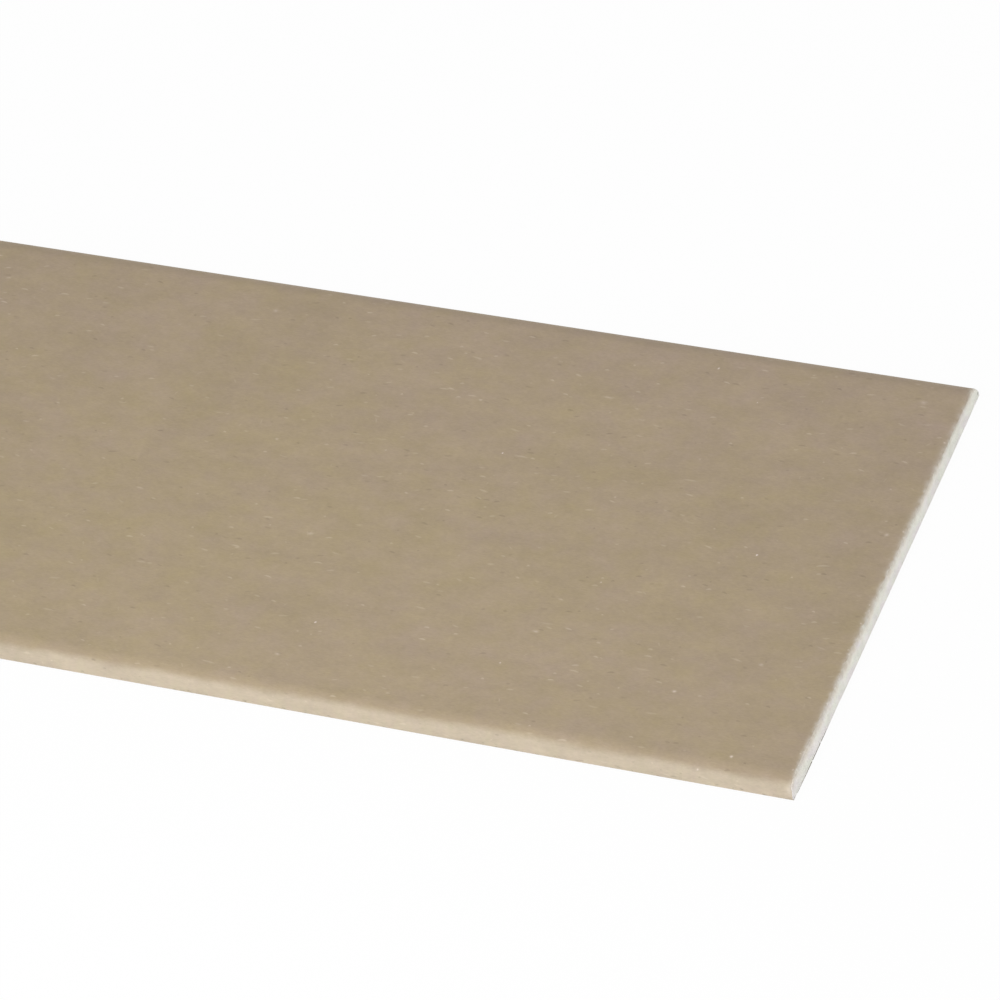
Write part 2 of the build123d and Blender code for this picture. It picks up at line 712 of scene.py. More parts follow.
# How much less the foot is broken past the near part, and at the near corner
FOOT_FAR_SHARE = 0.8
FOOT_CORNER_SHARE = 0.75
# The far lower corner has crumbled off
CRUMB = 1.7 * MM
CRUMB_REACH = 3 * MM
MEAN_DEPTH = 0.06 * MM
LEAST_DEPTH = 0.05 * MM


def under_paper(across, up):
    """How deep a point of the core lies under the inner side of the face paper."""
    y = abs(across)
    if up < nose_z and y <= nose_y:
        return THICKNESS
    if y <= crown_y:
        return THICKNESS - FACE_PAPER - up
    if atan2(y - crown_y, up - crown_z) <= MEETING:
        return CROWN_RADIUS - FACE_PAPER - sqrt((y - crown_y) ** 2 + (up - crown_z) ** 2)
    return NOSE_RADIUS - FACE_PAPER - sqrt((y - nose_y) ** 2 + (up - nose_z) ** 2)


def cut_noise(across, up, per_metre, row):
    """Smooth noise from -1 to 1 over a cut face."""
    return noise.noise(Vector((across * per_metre[0], up * per_metre[1], row)))


def broken_foot(across, up, side):
    """How far the foot of the core has broken away, which is most in the near part of the cut."""
    broken = 0.5 + 0.5 * wave(across, per_metre=40, row=side, track=6)
    broken *= FOOT_BREAK * (1 - FOOT_FAR_SHARE * past_near_part(across))
    broken *= 1 - FOOT_CORNER_SHARE * at_near_corner(across)
    return broken * max(0, 1 - (up - core_bottom(across)) / FOOT_REACH) ** 2


def pressed_in(across, up, side):
    """How far a point of the cut face lies behind the plane of the cut."""
    swell = SWELL * (1 + cut_noise(across, up, SWELL_PER_METRE, row=side * 5))
    grain = GRAIN * cut_noise(across, up, GRAIN_PER_METRE, row=side * 9)
    bubble = cut_noise(across, up, PORES_PER_METRE, row=side * 13)
    pore = PORE * max(0, bubble - PORE_START) / (1 - PORE_START)
    worn = arris_drop(under_paper(across, up), arris_radius(laid_out(across, up), side))
    from_corner = sqrt((across - HALF_WIDTH) ** 2 + (up - nose_z) ** 2)
    crumb = CRUMB * max(0, 1 - from_corner / CRUMB_REACH)
    depth = MEAN_DEPTH + swell + grain + pore + worn + broken_foot(across, up, side) + crumb
    return max(LEAST_DEPTH, depth)


print("the arris is pressed in by", round(pressed_in(0, core_top(0), 1) / MM, 2), "mm at the middle")

# %% Make the core
CORE_COLUMNS = 760
CORE_ROWS = 26


def core_end(bm, side):
    """One cut face, as a grid in the section, and the ring where the core is whole again."""
    made = bmesh.ops.create_grid(bm, x_segments=CORE_COLUMNS, y_segments=CORE_ROWS, size=1)
    for vertex in made["verts"]:
        across = column_place(vertex.co.x)
        share = row_place((vertex.co.y + 1) / 2)
        up = core_bottom(across) + share * (core_top(across) - core_bottom(across))
        vertex.co = (cut_place(across, side) - side * pressed_in(across, up, side), across, up)
    bmesh.ops.remove_doubles(bm, verts=made["verts"], dist=MERGE_REACH)
    rim = [edge for edge in bm.edges if edge.is_boundary and edge.verts[0].co.x * side > 0]
    ring = bmesh.ops.extrude_edge_only(bm, edges=rim)["geom"]
    for part in ring:
        if isinstance(part, bmesh.types.BMVert):
            part.co.x = side * (END - TEAR_ZONE)
    return [part for part in ring if isinstance(part, bmesh.types.BMEdge)]


bm = bmesh.new()
rings = core_end(bm, -1) + core_end(bm, 1)
open_edges = [edge for edge in rings if edge.is_boundary]
bmesh.ops.bridge_loops(bm, edges=open_edges)
bmesh.ops.recalc_face_normals(bm, faces=bm.faces)
for face in bm.faces:
    face.smooth = True
gypsum_core = finish_mesh(bm, "gypsum_core_cast")

# %% [markdown]
# ## Fibres as a shared group
#
# Recycled paper shows single fibres and specks, lying mostly along the sheet, because that is
# the way the web runs. One group draws a layer of them: a Voronoi texture gives each cell a
# middle and random numbers, the place in the cell is turned by a random angle, and a long thin
# ellipse is kept. The materials use it several times, with other sizes and densities.

# %% Helpers that make a group with named sockets
def new_group(name, inputs, outputs):
    """An empty shader group with its inputs and outputs, and the two nodes that stand for them."""
    group = bpy.data.node_groups.new(name, "ShaderNodeTree")
    for socket, kind, value in inputs:
        made = group.interface.new_socket(name=socket, in_out="INPUT", socket_type="NodeSocket" + kind)
        if value is not None:
            made.default_value = value
    for socket in outputs:
        group.interface.new_socket(name=socket, in_out="OUTPUT", socket_type="NodeSocketFloat")
    return group, group.nodes.new("NodeGroupInput").outputs, group.nodes.new("NodeGroupOutput").inputs


def use_group(tree, group, **values):
    """A group node in a material, with its inputs set or fed."""
    node = tree.nodes.new("ShaderNodeGroup")
    node.node_tree = group
    for name, value in values.items():
        socket = node.inputs[name.replace("_", " ")]
        if isinstance(value, bpy.types.NodeSocket):
            tree.links.new(value, socket)
        else:
            socket.default_value = value
    return node.outputs


# %% Small sums that come again and again
def squared(tree, value):
    """A value times itself."""
    return math(tree, "POWER", value, 2.0)


def fading(tree, distance, reach):
    """1 at no distance, and less and less further away."""
    return math(tree, "EXPONENT", math(tree, "DIVIDE", distance, -reach))


def weighted(tree, value, driver, slope, start=1.0):
    """A value times a weight that begins at a start and grows or falls with a driver."""
    return math(tree, "MULTIPLY", value, math(tree, "MULTIPLY_ADD", driver, slope, start))


def clamped(tree, value):
    """A value kept between 0 and 1."""
    return place(tree, "Clamp", ("Value", value)).outputs[0]


def smooth_step(tree, value, low, high):
    """0 below low and 1 above high, with a soft way between."""
    span = (("Value", value), ("From Min", low), ("From Max", high))
    return place(tree, "MapRange", *span, interpolation_type="SMOOTHSTEP").outputs[0]


# %% The fibre layer
# A fibre's half length runs from this share of the given one to one whole one more
SHORTEST_SHARE = 0.35
FIBRE_CURL = 2.0
# A fibre fades from this squared distance outwards, where 1 is its edge
FADE_START = 0.25
# How strong the faintest fibre is beside the strongest
FAINTEST_SHARE = 0.4
fibre_layer, given, result = new_group(
    "fibre layer",
    [
        ("Place", "Vector", None),
        ("Cells per metre", "Float", 60.0),
        ("Share of cells", "Float", 0.4),
        ("Half length", "Float", 4 * MM),
        ("Half width", "Float", 0.5 * MM),
        ("Spread", "Float", 0.6),
        ("Shift", "Float", 0.0),
    ],
    ["Mask"],
)
tree = fibre_layer
density = given["Cells per metre"]
shifted = place(tree, "VectorMath", (0, given["Place"]), (1, given["Shift"]), operation="ADD").outputs[0]
scaled = place(tree, "VectorMath", (0, shifted), ("Scale", density), operation="SCALE").outputs[0]
cells = place(tree, "TexVoronoi", ("Vector", scaled), ("Scale", 1.0), voronoi_dimensions="2D").outputs
offset = place(tree, "VectorMath", (0, scaled), (1, cells["Position"]), operation="SUBTRACT").outputs[0]
chance = place(tree, "SeparateColor", (0, cells["Color"])).outputs
angle = math(tree, "MULTIPLY_ADD", chance[0], given["Spread"], math(tree, "MULTIPLY", given["Spread"], -0.5))
turned = place(tree, "VectorRotate", ("Vector", offset), ("Angle", angle), rotation_type="Z_AXIS").outputs[0]
local = place(tree, "SeparateXYZ", (0, turned)).outputs
along = math(tree, "DIVIDE", local[0], density)
aside = math(tree, "DIVIDE", local[1], density)
half_length = math(tree, "MULTIPLY", given["Half length"], math(tree, "ADD", chance[1], SHORTEST_SHARE))
length_part = squared(tree, math(tree, "DIVIDE", along, half_length))
bend = math(tree, "MULTIPLY", math(tree, "SUBTRACT", chance[2], 0.5), length_part)
bend = math(tree, "MULTIPLY", bend, given["Half width"])
aside = math(tree, "ADD", aside, math(tree, "MULTIPLY", bend, FIBRE_CURL))
width_part = squared(tree, math(tree, "DIVIDE", aside, given["Half width"]))
distance = math(tree, "ADD", length_part, width_part)
fade = (("From Min", FADE_START), ("From Max", 1.0), ("To Min", 1.0), ("To Max", 0.0))
body = place(tree, "MapRange", ("Value", distance), *fade).outputs[0]
dice = place(tree, "TexWhiteNoise", ("Vector", cells["Position"]), noise_dimensions="2D").outputs["Value"]
kept = math(tree, "LESS_THAN", dice, given["Share of cells"])
strength = math(tree, "MULTIPLY_ADD", chance[2], 1 - FAINTEST_SHARE, FAINTEST_SHARE)
strength = math(tree, "MULTIPLY", kept, strength)
tree.links.new(math(tree, "MULTIPLY", body, strength), result["Mask"])
print("fibre layer has", len(tree.nodes), "nodes")

# %% [markdown]
# ## Paper stock as a shared group
#
# Both papers are built from the same layers: cloudy mottling from the pulp, a fine fuzz, pale
# and dark fibres, and a few bright specks. Clouds of a warmer and a cooler brown lie over it.
# The group puts out these as values, and each paper gives them its own strengths and colours.

# %% Noise stretched along the web
def stretched_noise(tree, where, along, aside, detail, roughness=0.5):
    """Noise from -0.5 to 0.5 with its own scale per metre along and across the web."""
    scaled = place(tree, "VectorMath", (0, where), (1, (along, aside, 1.0)), operation="MULTIPLY").outputs[0]
    grain = place(
        tree,
        "TexNoise",
        ("Vector", scaled),
        ("Scale", 1.0),
        ("Detail", detail),
        ("Roughness", roughness),
        noise_dimensions="2D",
    )
    return math(tree, "SUBTRACT", grain.outputs["Fac"], 0.5)


# %% The paper stock and its clouds
BROAD_CLOUDS = 0.22
FLECKS = 0.26
BROAD_WARMTH = 0.35
paper_stock, given, result = new_group(
    "paper stock",
    [
        ("Place", "Vector", None),
        ("Clouds", "Float", 0.31),
        ("Fuzz", "Float", 0.16),
        ("Pale fibres", "Float", 0.15),
        ("Dark fibres", "Float", 0.19),
        ("Specks", "Float", 0.45),
    ],
    ["Brightness", "Warmth", "Height", "Pale", "Specks"],
)
tree = paper_stock
where = given["Place"]
clouds = stretched_noise(tree, where, along=12.0, aside=26.0, detail=5.0, roughness=0.88)
broad_clouds = stretched_noise(tree, where, along=5.0, aside=9.0, detail=1.0)
clouds = math(tree, "MULTIPLY_ADD", broad_clouds, BROAD_CLOUDS, clouds)
flecks = stretched_noise(tree, where, along=70.0, aside=150.0, detail=3.0, roughness=0.7)
clouds = math(tree, "MULTIPLY_ADD", flecks, FLECKS, clouds)
elsewhere = place(tree, "VectorMath", (0, where), (1, (3.0, 5.0, 0.0)), operation="ADD").outputs[0]
warmth = stretched_noise(tree, elsewhere, along=18.0, aside=28.0, detail=3.0, roughness=0.65)
broad_warmth = stretched_noise(tree, elsewhere, along=4.0, aside=8.0, detail=1.0)
warmth = math(tree, "MULTIPLY_ADD", broad_warmth, BROAD_WARMTH, warmth)
fuzz = stretched_noise(tree, where, along=170.0, aside=620.0, detail=3.0)
print("the clouds take", len(tree.nodes), "nodes")

# %% The fibres of the paper stock
FIBRE_LAYERS = {
    # cells per metre, share of cells, half length, half width, spread of angles, shift
    "long": (22.0, 0.28, 8.0 * MM, 1.3 * MM, 0.4, 0.31),
    "short": (42.0, 0.26, 4.6 * MM, 1.2 * MM, 0.5, 1.73),
    "stray": (34.0, 0.12, 3.6 * MM, 0.9 * MM, 6.28, 5.21),
    "dark": (42.0, 0.3, 4.6 * MM, 1.3 * MM, 0.5, 2.97),
    "speck": (20.0, 0.04, 1.6 * MM, 1.2 * MM, 3.0, 4.43),
}
LONG_STRENGTH = 0.8
STRAY_STRENGTH = 0.6
FUZZ_HEIGHT = 0.6
masks = {}
for name, (density, share, half_length, half_width, spread, shift) in FIBRE_LAYERS.items():
    masks[name] = use_group(
        tree,
        fibre_layer,
        Place=where,
        Cells_per_metre=density,
        Share_of_cells=share,
        Half_length=half_length,
        Half_width=half_width,
        Spread=spread,
        Shift=shift,
    )["Mask"]
long_fibres = math(tree, "MULTIPLY", masks["long"], LONG_STRENGTH)
stray_fibres = math(tree, "MULTIPLY", masks["stray"], STRAY_STRENGTH)
pale = math(tree, "MAXIMUM", math(tree, "MAXIMUM", long_fibres, masks["short"]), stray_fibres)
brightness = math(tree, "MULTIPLY_ADD", clouds, given["Clouds"], 1.0)
brightness = math(tree, "MULTIPLY_ADD", fuzz, given["Fuzz"], brightness)
brightness = math(tree, "MULTIPLY_ADD", pale, given["Pale fibres"], brightness)
brightness = math(tree, "MULTIPLY_ADD", masks["speck"], given["Specks"], brightness)
brightness = math(tree, "SUBTRACT", brightness, math(tree, "MULTIPLY", masks["dark"], given["Dark fibres"]))
height = math(tree, "MULTIPLY_ADD", fuzz, FUZZ_HEIGHT, math(tree, "ADD", pale, masks["speck"]))
tree.links.new(brightness, result["Brightness"])
tree.links.new(math(tree, "ADD", warmth, 0.5), result["Warmth"])
tree.links.new(height, result["Height"])
tree.links.new(pale, result["Pale"])
tree.links.new(masks["speck"], result["Specks"])
print("paper stock has", len(tree.nodes), "nodes")

# %% [markdown]
# ## The face paper's finish
#
# The face paper is a grey tan whose hue drifts slowly over the sheet. Where it rolls round the
# long edges it is paler, mainly on the near side: partly the paper is stretched and scuffed there,
# and partly a highlight and sheen are painted on. Faint creases run round the edge, with dark
# ticks low down. Single scuffs lie on the face, painted shade darkens the low near roll by the
# cut, and pale dust of the cut lies beside the core.

# %% Helpers for materials
SPECULAR_LEVEL = 0.25


def new_material(name):
    """An empty material and its tree."""
    material = bpy.data.materials.new(name)
    material.use_nodes = True
    material.node_tree.nodes.clear()
    return material, material.node_tree


def mix_colour(tree, share, first, second):
    """A colour between two, by a share."""
    return place(tree, "Mix", (0, share), (6, first), (7, second), data_type="RGBA").outputs[2]


def tint(tree, colour, brightness):
    """A colour multiplied by a grey value."""
    grey = place(tree, "CombineColor", (0, brightness), (1, brightness), (2, brightness)).outputs[0]
    feeds = ((0, 1.0), (6, colour), (7, grey))
    return place(tree, "Mix", *feeds, data_type="RGBA", blend_type="MULTIPLY").outputs[2]


def add_surface(tree, colour, height, roughness, bump_strength, bump_distance):
    """The shader: a principled surface with a bump."""
    bump = place(tree, "Bump", ("Strength", bump_strength), ("Distance", bump_distance), ("Height", height))
    shader = place(
        tree, "BsdfPrincipled", ("Base Color", colour), ("Roughness", roughness), ("Normal", bump.outputs[0])
    )
    shader.inputs["Specular IOR Level"].default_value = SPECULAR_LEVEL
    place(tree, "OutputMaterial", ("Surface", shader.outputs[0]))


# %% The ground of the face, and how its hue drifts
WARM_FACE = (0.394, 0.3155, 0.186, 1)
COOL_FACE = (0.394, 0.306, 0.240, 1)
# How much warmer the hue is at the middle, then per metre across and along, and per metre squared
DRIFT_START = 0.135
DRIFT_ACROSS = -0.33
DRIFT_ALONG = -0.1
DRIFT_BOW = -1.5
face_finish, tree = new_material("grey tan face paper")
flat = place(tree, "UVMap", uv_map="laid out flat").outputs[0]
stock = use_group(tree, paper_stock, Place=flat)
flat_parts = place(tree, "SeparateXYZ", (0, flat)).outputs
drift = math(tree, "MULTIPLY_ADD", flat_parts[1], DRIFT_ACROSS, DRIFT_START)
drift = math(tree, "MULTIPLY_ADD", flat_parts[0], DRIFT_ALONG, drift)
drift = math(tree, "MULTIPLY_ADD", squared(tree, flat_parts[1]), DRIFT_BOW, drift)
face_warmth = math(tree, "ADD", stock["Warmth"], drift)
face_ground = mix_colour(tree, face_warmth, COOL_FACE, WARM_FACE)
print("the ground takes", len(tree.nodes), "nodes")

# %% The paler roll of the long edges, partly a painted highlight
# The roll's paler colours are partly stretched, scuffed paper and partly a painted highlight and sheen. Their
# ramp follows how the light grows round the edge, and the far roll, which gets less light, takes a smaller
# share.
CREAM_ROLL_AND_SHEEN = (0.500, 0.432, 0.312, 1)
PINK_ROLL_AND_SHEEN = (0.498, 0.412, 0.326, 1)
ROLL_START = crown_y + 9.3 * MM
ROLL_FULL = crown_y + 21.3 * MM
ROLL_RAGGED = 9 * MM
FAR_ROLL_SHARE = 0.35
CREASE_LIGHT = 0.07
STAIN_LIGHT = 0.24
EDGE_HUE = 1.4
creases = stretched_noise(tree, flat, along=130.0, aside=16.0, detail=4.0)
stains = stretched_noise(tree, flat, along=16.0, aside=40.0, detail=4.0, roughness=0.65)
from_middle = math(tree, "MULTIPLY_ADD", stains, ROLL_RAGGED, math(tree, "ABSOLUTE", flat_parts[1]))
rolled = smooth_step(tree, from_middle, ROLL_START, ROLL_FULL)
nearness = math(tree, "MULTIPLY", flat_parts[1], -1.0)
near_side = smooth_step(tree, nearness, -crown_y, crown_y)
rolled = weighted(tree, rolled, near_side, 1 - FAR_ROLL_SHARE, FAR_ROLL_SHARE)
edge_light = math(tree, "MULTIPLY_ADD", creases, CREASE_LIGHT, math(tree, "MULTIPLY", stains, STAIN_LIGHT))
edge_hue = stretched_noise(tree, flat, along=60.0, aside=30.0, detail=3.0, roughness=0.6)
edge_hue = math(tree, "MULTIPLY_ADD", edge_hue, EDGE_HUE, 0.5)
roll_paint_and_sheen = mix_colour(tree, edge_hue, PINK_ROLL_AND_SHEEN, CREAM_ROLL_AND_SHEEN)
ground = mix_colour(tree, rolled, face_ground, roll_paint_and_sheen)
brightness = math(tree, "MULTIPLY_ADD", edge_light, rolled, stock["Brightness"])
print("the roll is paler from", round(ROLL_START, 4), "to", round(ROLL_FULL, 4), "m of the flat width")

# %% Fibres, ticks and painted shade on the face paper
FIBRE_COLOUR = (0.53, 0.47, 0.39, 1)
SPECK_COLOUR = (0.60, 0.54, 0.52, 1)
FIBRE_COVER = 0.25
SPECK_COVER = 0.8
TICK_START = 0.13
TICK_FULL = 0.24
TICK_DARKER = 0.42
LOW_START = CROWN_END - 6 * MM
LOW_FULL = LOW_START + 5 * MM
# How far the painted shade of the low near roll reaches from the cut, and how much darker it is
CORNER_SHADE_REACH = 9 * MM
CORNER_SHADE_DARKER = 0.2
fibre_cover = math(tree, "MULTIPLY", stock["Pale"], FIBRE_COVER)
speck_cover = math(tree, "MULTIPLY", stock["Specks"], SPECK_COVER)
with_fibres = mix_colour(tree, fibre_cover, ground, FIBRE_COLOUR)
with_fibres = mix_colour(tree, speck_cover, with_fibres, SPECK_COLOUR)
ticks = stretched_noise(tree, flat, along=95.0, aside=260.0, detail=2.0)
ticks = smooth_step(tree, ticks, TICK_START, TICK_FULL)
low = smooth_step(tree, nearness, LOW_START, LOW_FULL)
ticks = math(tree, "MULTIPLY", ticks, math(tree, "MULTIPLY", low, -TICK_DARKER))
brightness = math(tree, "ADD", brightness, ticks)
from_cut = math(tree, "SUBTRACT", END, math(tree, "ABSOLUTE", flat_parts[0]))
# Painted shade: the low part of the near roll, which turns under the sheet, is darker near the cuts
painted_corner_shade = math(tree, "MULTIPLY", fading(tree, from_cut, CORNER_SHADE_REACH), low)
brightness = math(tree, "MULTIPLY_ADD", painted_corner_shade, -CORNER_SHADE_DARKER, brightness)
print("ticks and painted_shade lie beyond", round(LOW_START, 4), "m of the flat width")

# %% Single scuffs of the face
SCUFFS = [
    # mm before the cut, mm across, half length, half width, how much paler
    (84, -270, 2.0, 1.8, 1.0),
    (188, -196, 2.8, 1.6, 0.8),
    (390, -147, 4.0, 2.0, 0.5),
    (599, 165, 2.8, 1.5, 0.5),
    (21, 66, 3.2, 2.4, 0.5),
    (695, -239, 3.4, 2.0, 0.4),
    (833, 62, 2.4, 1.8, 0.4),
    (729, -64, 5.0, 2.2, 0.35),
    (440, 197, 8.0, 1.8, 0.3),
    (50, 259, 5.0, 3.0, 0.35),
    (99, -140, 3.4, 2.0, 0.4),
    (919, 248, 3.4, 2.6, 0.35),
    (787, 191, 2.8, 1.8, -0.3),
    (205, 75, 2.4, 1.4, -0.3),
    (142, 220, 2.6, 2.8, -0.25),
    (57, -108, 3.6, 1.8, -0.25),
    (2.4, 207, 1.8, 1.3, 0.8),
    (2.6, 74, 1.8, 1.4, 0.8),
    (2.6, -34, 1.7, 1.2, 0.7),
    (2.8, -46, 1.7, 1.2, 0.6),
    (2.6, -61, 1.6, 1.2, 0.8),
    (3.0, -100, 1.8, 1.2, 0.6),
    (2.6, -250, 2.2, 1.3, 0.8),
    (2.6, -273, 1.8, 1.3, 0.7),
    (3.4, -298, 4.6, 6.5, 0.35),
]
SCUFF_FADE = 1.6
scuff, given, result = new_group(
    "scuff",
    [
        ("Place", "Vector", None),
        ("Along", "Float", 0.0),
        ("Across", "Float", 0.0),
        ("Half length", "Float", 3 * MM),
        ("Half width", "Float", 2 * MM),
    ],
    ["Mask"],
)
inside = place(scuff, "SeparateXYZ", (0, given["Place"])).outputs
lengthwise = math(scuff, "DIVIDE", math(scuff, "SUBTRACT", inside[0], given["Along"]), given["Half length"])
crosswise = math(scuff, "DIVIDE", math(scuff, "SUBTRACT", inside[1], given["Across"]), given["Half width"])
distance = math(scuff, "ADD", squared(scuff, lengthwise), squared(scuff, crosswise))
scuff.links.new(math(scuff, "EXPONENT", math(scuff, "MULTIPLY", distance, -SCUFF_FADE)), result["Mask"])
print("scuffs:", len(SCUFFS))

# %% Rub the scuffs in
SCUFF_BRIGHTER = 0.42
SCUFF_COVER = 0.5
RAGGED_PER_METRE = 300.0
RAGGED_REACH = 2.4 * MM
ragged = place(tree, "TexNoise", ("Vector", flat), ("Scale", RAGGED_PER_METRE), ("Detail", 2.0)).outputs
ragged = place(tree, "VectorMath", (0, ragged["Color"]), ("Scale", RAGGED_REACH), operation="SCALE").outputs
ragged = place(tree, "VectorMath", (0, flat), (1, ragged[0]), operation="ADD").outputs[0]
paler = 0.0
for before_cut, across, half_length, half_width, strength in SCUFFS:
    mask = use_group(
        tree,
        scuff,
        Place=ragged,
        Along=END - before_cut * MM,
        Across=across * MM,
        Half_length=half_length * MM,
        Half_width=half_width * MM,
    )["Mask"]
    paler = math(tree, "MULTIPLY_ADD", mask, strength, paler)
brightness = math(tree, "MULTIPLY_ADD", paler, SCUFF_BRIGHTER, brightness)
scuffed = math(tree, "MULTIPLY", clamped(tree, paler), SCUFF_COVER)
with_scuffs = mix_colour(tree, scuffed, with_fibres, SPECK_COLOUR)
shaded = tint(tree, with_scuffs, brightness)
print("with scuffs there are", len(tree.nodes), "nodes")

# %% Dust of the cut on the face paper
DUST_COLOUR = (0.70, 0.66, 0.595, 1)
DUST_REACH = 2.5 * MM
DUST_MEAN = 0.8
DUST_PATCHES = 2.6
# There is most of it halfway across the sheet, and less on the roll
DUST_SIDE_SHARE = 0.62
DUST_HALFWAY = 0.9
DUST_OFF_ROLL = 0.55
CREASE_HEIGHT = 3.0
FACE_ROUGHNESS = 0.72
FACE_BUMP = 0.35
PAPER_RELIEF = 0.06 * MM
patches = stretched_noise(tree, flat, along=110.0, aside=110.0, detail=3.0)
dust = weighted(tree, fading(tree, from_cut, DUST_REACH), patches, DUST_PATCHES, DUST_MEAN)
halfway = math(tree, "MULTIPLY", near_side, math(tree, "SUBTRACT", 1.0, near_side))
dust = weighted(tree, dust, halfway, DUST_HALFWAY, DUST_SIDE_SHARE)
dust = weighted(tree, dust, rolled, -DUST_OFF_ROLL)
dusty = mix_colour(tree, clamped(tree, dust), shaded, DUST_COLOUR)
height = math(tree, "MULTIPLY_ADD", math(tree, "MULTIPLY", creases, CREASE_HEIGHT), rolled, stock["Height"])
add_surface(tree, dusty, height, FACE_ROUGHNESS, FACE_BUMP, PAPER_RELIEF)
print(face_finish.name, "has", len(tree.nodes), "nodes")

# %% [markdown]
# ## The back paper's finish, and the torn edges
#
# The back paper is the same kind of stock, a little darker and greyer, and nothing marks it. A
# torn edge of either paper is loose fibres, so it is paler and rougher than the paper's face.

# %% The back paper's finish
WARM_BACK = (0.300, 0.268, 0.215, 1)
COOL_BACK = (0.300, 0.270, 0.238, 1)
BACK_ROUGHNESS = 0.8
BACK_BUMP = 0.4
back_finish, tree = new_material("grey brown back paper")
flat = place(tree, "UVMap", uv_map="laid out flat").outputs[0]
stock = use_group(tree, paper_stock, Place=flat, Clouds=0.34, Pale_fibres=0.3, Dark_fibres=0.3)
ground = mix_colour(tree, stock["Warmth"], COOL_BACK, WARM_BACK)
shaded = tint(tree, ground, stock["Brightness"])
add_surface(tree, shaded, stock["Height"], BACK_ROUGHNESS, BACK_BUMP, PAPER_RELIEF)
print(back_finish.name, "has", len(tree.nodes), "nodes")

# %% The torn edges of the papers
TORN_FACE = (0.60, 0.56, 0.48, 1)
TORN_BACK = (0.38, 0.37, 0.38, 1)
TORN_PER_METRE = 900.0
TORN_CONTRAST = 0.4
TORN_ROUGHNESS = 0.9
TORN_BUMP = 0.5
TORN_RELIEF = 0.1 * MM


def spot_noise(tree, where, per_metre, detail):
    """Noise from 0 to 1 that fills space."""
    return place(tree, "TexNoise", ("Vector", where), ("Scale", per_metre), ("Detail", detail)).outputs["Fac"]


def torn_edge(name, colour):
    """The finish of a paper's torn edge: loose fibres of one colour."""
    material, tree = new_material(name)
    spot = place(tree, "TexCoord").outputs["Object"]
    fibres = spot_noise(tree, spot, TORN_PER_METRE, detail=3.0)
    shade = math(tree, "MULTIPLY_ADD", fibres, TORN_CONTRAST, 1 - TORN_CONTRAST / 2)
    add_surface(tree, tint(tree, colour, shade), fibres, TORN_ROUGHNESS, TORN_BUMP, TORN_RELIEF)
    return material


torn_face = torn_edge("torn edge of the face paper", TORN_FACE)
torn_back = torn_edge("torn edge of the back paper", TORN_BACK)
print("torn edges:", torn_face.name, "|", torn_back.name)

# %% [markdown]
# ## Gypsum, and what the cut smeared over it
#
# Cast gypsum is a matt white with fine grain, small air pores and a hue between cream and pink.
# Its pores are painted a little darker, as painted shade in their hollows. The cut drags brown
# paper fibre down from the face, so the upper third of the end is tinted with it in streaks, more
# and more towards the arris and the far side. Cream dust lies on it in patches. At the right-hand
# cut, painted shade darkens the near lower corner and the far corner has a small dark spot. At
# the knock a ply of paper still clings to it.

# %% The gypsum's hue and grain
CREAM_GYPSUM = (0.850, 0.853, 0.772, 1)
PINK_GYPSUM = (0.860, 0.818, 0.808, 1)
CLOUD_CONTRAST = 0.3
GRAIN_CONTRAST = 0.12
FINE_PORES_PER_METRE = 420.0
PORE_PAINTED_SHADE = 0.12
GRAIN_HEIGHT = 0.8
gypsum_finish, tree = new_material("cast gypsum")
spot = place(tree, "TexCoord").outputs["Object"]
spot_parts = place(tree, "SeparateXYZ", (0, spot)).outputs
cloud = spot_noise(tree, spot, per_metre=60.0, detail=3.0)
hue = spot_noise(tree, spot, per_metre=38.0, detail=3.0)
hue = smooth_step(tree, hue, low=0.38, high=0.62)
grain = spot_noise(tree, spot, per_metre=520.0, detail=4.0)
bubble = place(tree, "TexVoronoi", ("Vector", spot), ("Scale", FINE_PORES_PER_METRE)).outputs["Distance"]
pores = smooth_step(tree, bubble, low=0.12, high=0.32)
shade = math(tree, "MULTIPLY_ADD", cloud, CLOUD_CONTRAST, 1 - CLOUD_CONTRAST / 2 - GRAIN_CONTRAST / 2)
shade = math(tree, "MULTIPLY_ADD", grain, GRAIN_CONTRAST, shade)
# The pores are painted darker: painted shade in their hollows
shade = weighted(tree, shade, pores, PORE_PAINTED_SHADE, 1 - PORE_PAINTED_SHADE)
pale_part = mix_colour(tree, hue, CREAM_GYPSUM, PINK_GYPSUM)
print("bare gypsum takes", len(tree.nodes), "nodes")

# %% Darker corner spots and cream dust on the gypsum
CREAM_DUST = (0.850, 0.795, 0.705, 1)
CREAM_FROM_SHARE = 0.25
CREAM_FULL_SHARE = 0.85
# Two darker spots at corners of the right-hand cut: at the near lower corner it is painted shade, and at the
# far corner it is a small dark spot.
DARK_CORNER_SPOTS = [
    # across, up, reach, how much darker
    (295.5 * MM, 6.3 * MM, 1.7 * MM, 0.5),
    (-297.5 * MM, 1.0 * MM, 3.5 * MM, 0.4),
]


def blot(tree, spot, middle, reach):
    """1 at a middle, and fading away round it over a reach."""
    away = place(tree, "VectorMath", (0, spot), (1, middle), operation="DISTANCE").outputs["Value"]
    away = squared(tree, math(tree, "DIVIDE", away, reach))
    return fading(tree, away, 1.0)


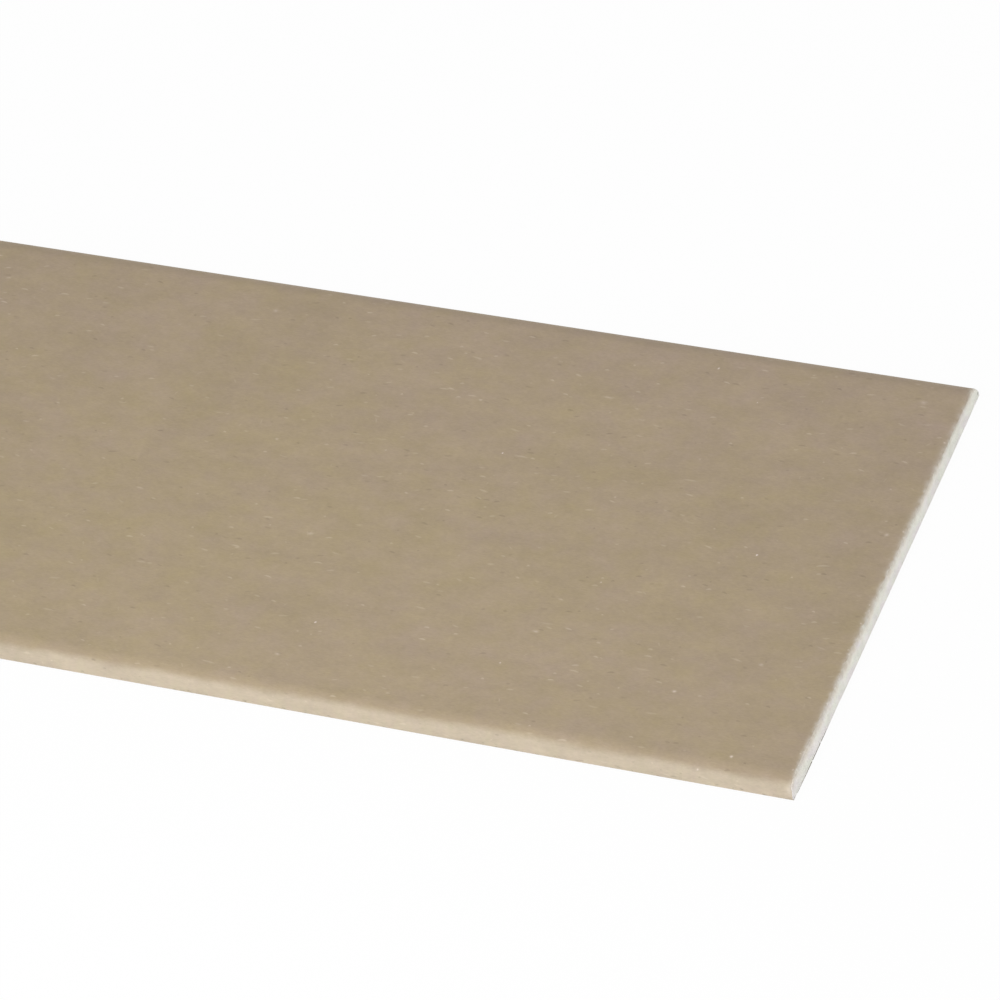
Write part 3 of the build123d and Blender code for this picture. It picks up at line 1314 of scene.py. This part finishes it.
up_share = math(tree, "DIVIDE", spot_parts[2], THICKNESS)
creamy = smooth_step(tree, up_share, CREAM_FROM_SHARE, CREAM_FULL_SHARE)
cream_patches = spot_noise(tree, spot, per_metre=75.0, detail=2.0)
cream_patches = smooth_step(tree, cream_patches, low=0.3, high=0.65)
creamy = math(tree, "MULTIPLY", creamy, cream_patches)
for across, up, reach, darker in DARK_CORNER_SPOTS:
    dark_spot = blot(tree, spot, (cut_place(across, 1), across, up), reach)
    shade = weighted(tree, shade, dark_spot, -darker)
white_part = tint(tree, mix_colour(tree, creamy, pale_part, CREAM_DUST), shade)
print("with dirt and dust there are", len(tree.nodes), "nodes")

# %% The smear of brown fibre
SMEAR_COLOUR = (0.42, 0.345, 0.25, 1)
SMEAR_FROM_SHARE = 0.64
SMEAR_AT_ARRIS = 0.5
STREAK_PER_METRE = 160.0
# The streaks run down the cut, so their noise is stretched that way
STREAK_STRETCH = (1.0, 1.0, 0.25)
STREAK_CONTRAST = 2.4
STREAK_START = -0.2
SMEAR_FAR_MORE = 0.45
FAR_PART_FULL = 0.2
PLY_REACH = 4.5 * MM
PLY_STRENGTH = 0.4
GYPSUM_ROUGHNESS = 0.92
GYPSUM_BUMP = 0.5
GYPSUM_RELIEF = 0.25 * MM
rise_to_arris = (("From Min", SMEAR_FROM_SHARE), ("From Max", 1.0), ("To Max", SMEAR_AT_ARRIS))
smear = place(tree, "MapRange", ("Value", up_share), *rise_to_arris).outputs[0]
streaks = place(tree, "VectorMath", (0, spot), (1, STREAK_STRETCH), operation="MULTIPLY").outputs[0]
streaks = spot_noise(tree, streaks, STREAK_PER_METRE, detail=4.0)
smear = weighted(tree, smear, streaks, STREAK_CONTRAST, STREAK_START)
far_part = smooth_step(tree, spot_parts[1], 0.0, FAR_PART_FULL)
smear = weighted(tree, smear, far_part, SMEAR_FAR_MORE)
ply = blot(tree, spot, KNOCK_SPOT, PLY_REACH)
smear = clamped(tree, math(tree, "MULTIPLY_ADD", ply, PLY_STRENGTH, smear))
smeared = mix_colour(tree, smear, white_part, SMEAR_COLOUR)
height = math(tree, "MULTIPLY_ADD", grain, GRAIN_HEIGHT, pores)
add_surface(tree, smeared, height, GYPSUM_ROUGHNESS, GYPSUM_BUMP, GYPSUM_RELIEF)
print(gypsum_finish.name, "has", len(tree.nodes), "nodes")

# %% [markdown]
# ## Put the pieces in place
#
# Nothing moves on this object, so every piece rides on the one body. Each new piece stands for
# the solid that it dresses, which is hidden, and takes its finishes.

# %% Ride, replace and give the finishes
dressed = [
    (face_paper, "face_paper", "face_paper", (face_finish, torn_face)),
    (back_paper, "back_paper", "back_paper", (back_finish, torn_back)),
    (gypsum_core, "gypsum_core", "gypsum", (gypsum_finish,)),
]
for piece, node, slot, finishes in dressed:
    for finish in finishes:
        piece.data.materials.append(finish)
    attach(piece, "root")
    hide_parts(node)
    print(piece.name, "stands for", node)
